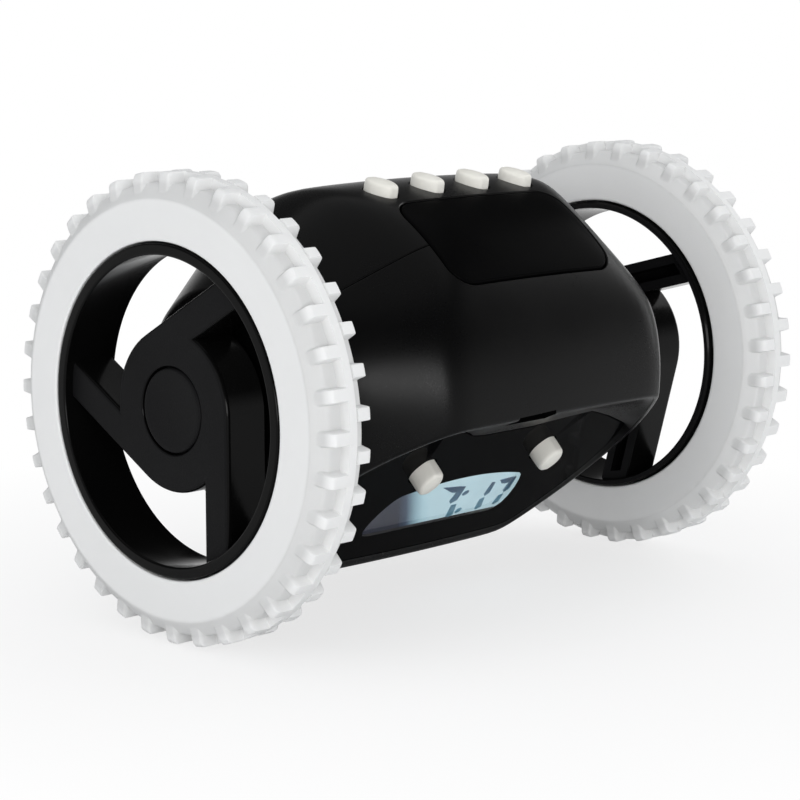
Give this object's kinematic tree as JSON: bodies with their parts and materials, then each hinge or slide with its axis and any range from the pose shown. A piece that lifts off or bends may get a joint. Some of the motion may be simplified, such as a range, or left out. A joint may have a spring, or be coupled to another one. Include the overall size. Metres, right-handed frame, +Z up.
{
  "type": "rolling alarm clock",
  "caption": "Barrel-bodied digital alarm clock that drives off on two large spoked wheels with lugged white tyres.",
  "frame": {"origin": "centre of the clock's base, on the floor between the two tyres", "axes": "+X along the axle from the left wheel to the right wheel, as seen from in front of the display, +Y to the rear (the display faces -Y), +Z up"},
  "size_m": [0.1334, 0.0864, 0.0864],
  "materials": {
    "shell": "satin black ABS with a fine texture",
    "hub": "fine-textured black, glossy side walls",
    "tyre": "matt white rubber",
    "keys": "satin off-white",
    "lens": "polished dark acrylic",
    "display": "backlit pale blue liquid crystal display",
    "diffuser": "milky",
    "board": "solder mask",
    "chip": "matt epoxy",
    "speaker": "dark cone and can",
    "cells": "printed wrap over a steel can",
    "motor": "plated can",
    "gears": "natural acetal",
    "steel": "bright",
    "brass": "bright"
  },
  "bodies": {
    "housing": {"front_shell": "shell", "rear_shell": "shell", "face_lens": "lens", "lcd_glass": "display", "lcd_backlight": "diffuser", "main_board": "board", "controller_chip": "chip", "key_board": "board", "speaker": "speaker", "battery_1": "cells", "battery_2": "cells", "battery_3": "cells", "battery_4": "cells", "housing_screw_1": "steel", "housing_screw_2": "steel", "housing_screw_3": "steel", "housing_screw_4": "steel", "contact_plate_left": "brass", "motor_left": "motor", "gear_frame_left": "gears", "bushing_left": "brass", "contact_plate_right": "brass", "motor_right": "motor", "gear_frame_right": "gears", "bushing_right": "brass"},
    "battery_door": {"battery_cover": "shell", "battery_cover_screw": "steel"},
    "snooze": {"snooze_bar": "shell"},
    "wheel_left": {"tyre_left": "tyre", "wheel_hub_left": "hub", "hub_cap_left": "hub", "wheel_screw_left": "steel", "axle_left": "steel", "output_gear_left": "gears"},
    "idler_left": {"idler_gear_left": "gears"},
    "pinion_left": {"motor_pinion_left": "brass"},
    "wheel_right": {"tyre_right": "tyre", "wheel_hub_right": "hub", "hub_cap_right": "hub", "wheel_screw_right": "steel", "axle_right": "steel", "output_gear_right": "gears"},
    "idler_right": {"idler_gear_right": "gears"},
    "pinion_right": {"motor_pinion_right": "brass"},
    "top_key_1": {"top_key_1": "keys"},
    "top_key_2": {"top_key_2": "keys"},
    "top_key_3": {"top_key_3": "keys"},
    "top_key_4": {"top_key_4": "keys"},
    "front_key_left": {"front_key_left": "keys"},
    "front_key_right": {"front_key_right": "keys"}
  },
  "joints": [
    {"name": "wheel_left_spin", "type": "hinge", "parent": "housing", "child": "wheel_left", "pos_m": [0, 0, 0.0432], "axis": [1, 0, 0], "continuous": true},
    {"name": "wheel_right_spin", "type": "hinge", "parent": "housing", "child": "wheel_right", "pos_m": [0, 0, 0.0432], "axis": [1, 0, 0], "continuous": true},
    {"name": "idler_left_spin", "type": "hinge", "parent": "housing", "child": "idler_left", "pos_m": [0, -0.00576, 0.05813], "axis": [1, 0, 0], "continuous": true},
    {"name": "pinion_left_spin", "type": "hinge", "parent": "housing", "child": "pinion_left", "pos_m": [0, -0.01598, 0.05042], "axis": [1, 0, 0], "continuous": true},
    {"name": "idler_right_spin", "type": "hinge", "parent": "housing", "child": "idler_right", "pos_m": [0, -0.00576, 0.05813], "axis": [1, 0, 0], "continuous": true},
    {"name": "pinion_right_spin", "type": "hinge", "parent": "housing", "child": "pinion_right", "pos_m": [0, -0.01598, 0.05042], "axis": [1, 0, 0], "continuous": true},
    {"name": "snooze_press", "type": "slide", "parent": "housing", "child": "snooze", "axis": [0, 0.6088, -0.7934], "range_m": [0, 0.0012], "stiffness_N_per_m": 600, "springref_m": -0.0008},
    {"name": "top_key_1_press", "type": "slide", "parent": "housing", "child": "top_key_1", "axis": [0, 0.2079, -0.9781], "range_m": [0, 0.0012], "stiffness_N_per_m": 400, "springref_m": -0.0008},
    {"name": "top_key_2_press", "type": "slide", "parent": "housing", "child": "top_key_2", "axis": [0, 0.2079, -0.9781], "range_m": [0, 0.0012], "stiffness_N_per_m": 400, "springref_m": -0.0008},
    {"name": "top_key_3_press", "type": "slide", "parent": "housing", "child": "top_key_3", "axis": [0, 0.2079, -0.9781], "range_m": [0, 0.0012], "stiffness_N_per_m": 400, "springref_m": -0.0008},
    {"name": "top_key_4_press", "type": "slide", "parent": "housing", "child": "top_key_4", "axis": [0, 0.2079, -0.9781], "range_m": [0, 0.0012], "stiffness_N_per_m": 400, "springref_m": -0.0008},
    {"name": "front_key_left_press", "type": "slide", "parent": "housing", "child": "front_key_left", "axis": [0, 0.7071, 0.7071], "range_m": [0, 0.0012], "stiffness_N_per_m": 400, "springref_m": -0.0008},
    {"name": "front_key_right_press", "type": "slide", "parent": "housing", "child": "front_key_right", "axis": [0, 0.7071, 0.7071], "range_m": [0, 0.0012], "stiffness_N_per_m": 400, "springref_m": -0.0008},
    {"name": "battery_door_lift", "type": "slide", "parent": "housing", "child": "battery_door", "axis": [0, 0.5592, -0.829], "range_m": [0, 0.01]}
  ],
  "couplings": [
    {"joint": "idler_left_spin", "follows": "wheel_left_spin", "ratio": -3},
    {"joint": "pinion_left_spin", "follows": "wheel_left_spin", "ratio": 9},
    {"joint": "idler_right_spin", "follows": "wheel_right_spin", "ratio": -3},
    {"joint": "pinion_right_spin", "follows": "wheel_right_spin", "ratio": 9}
  ]
}
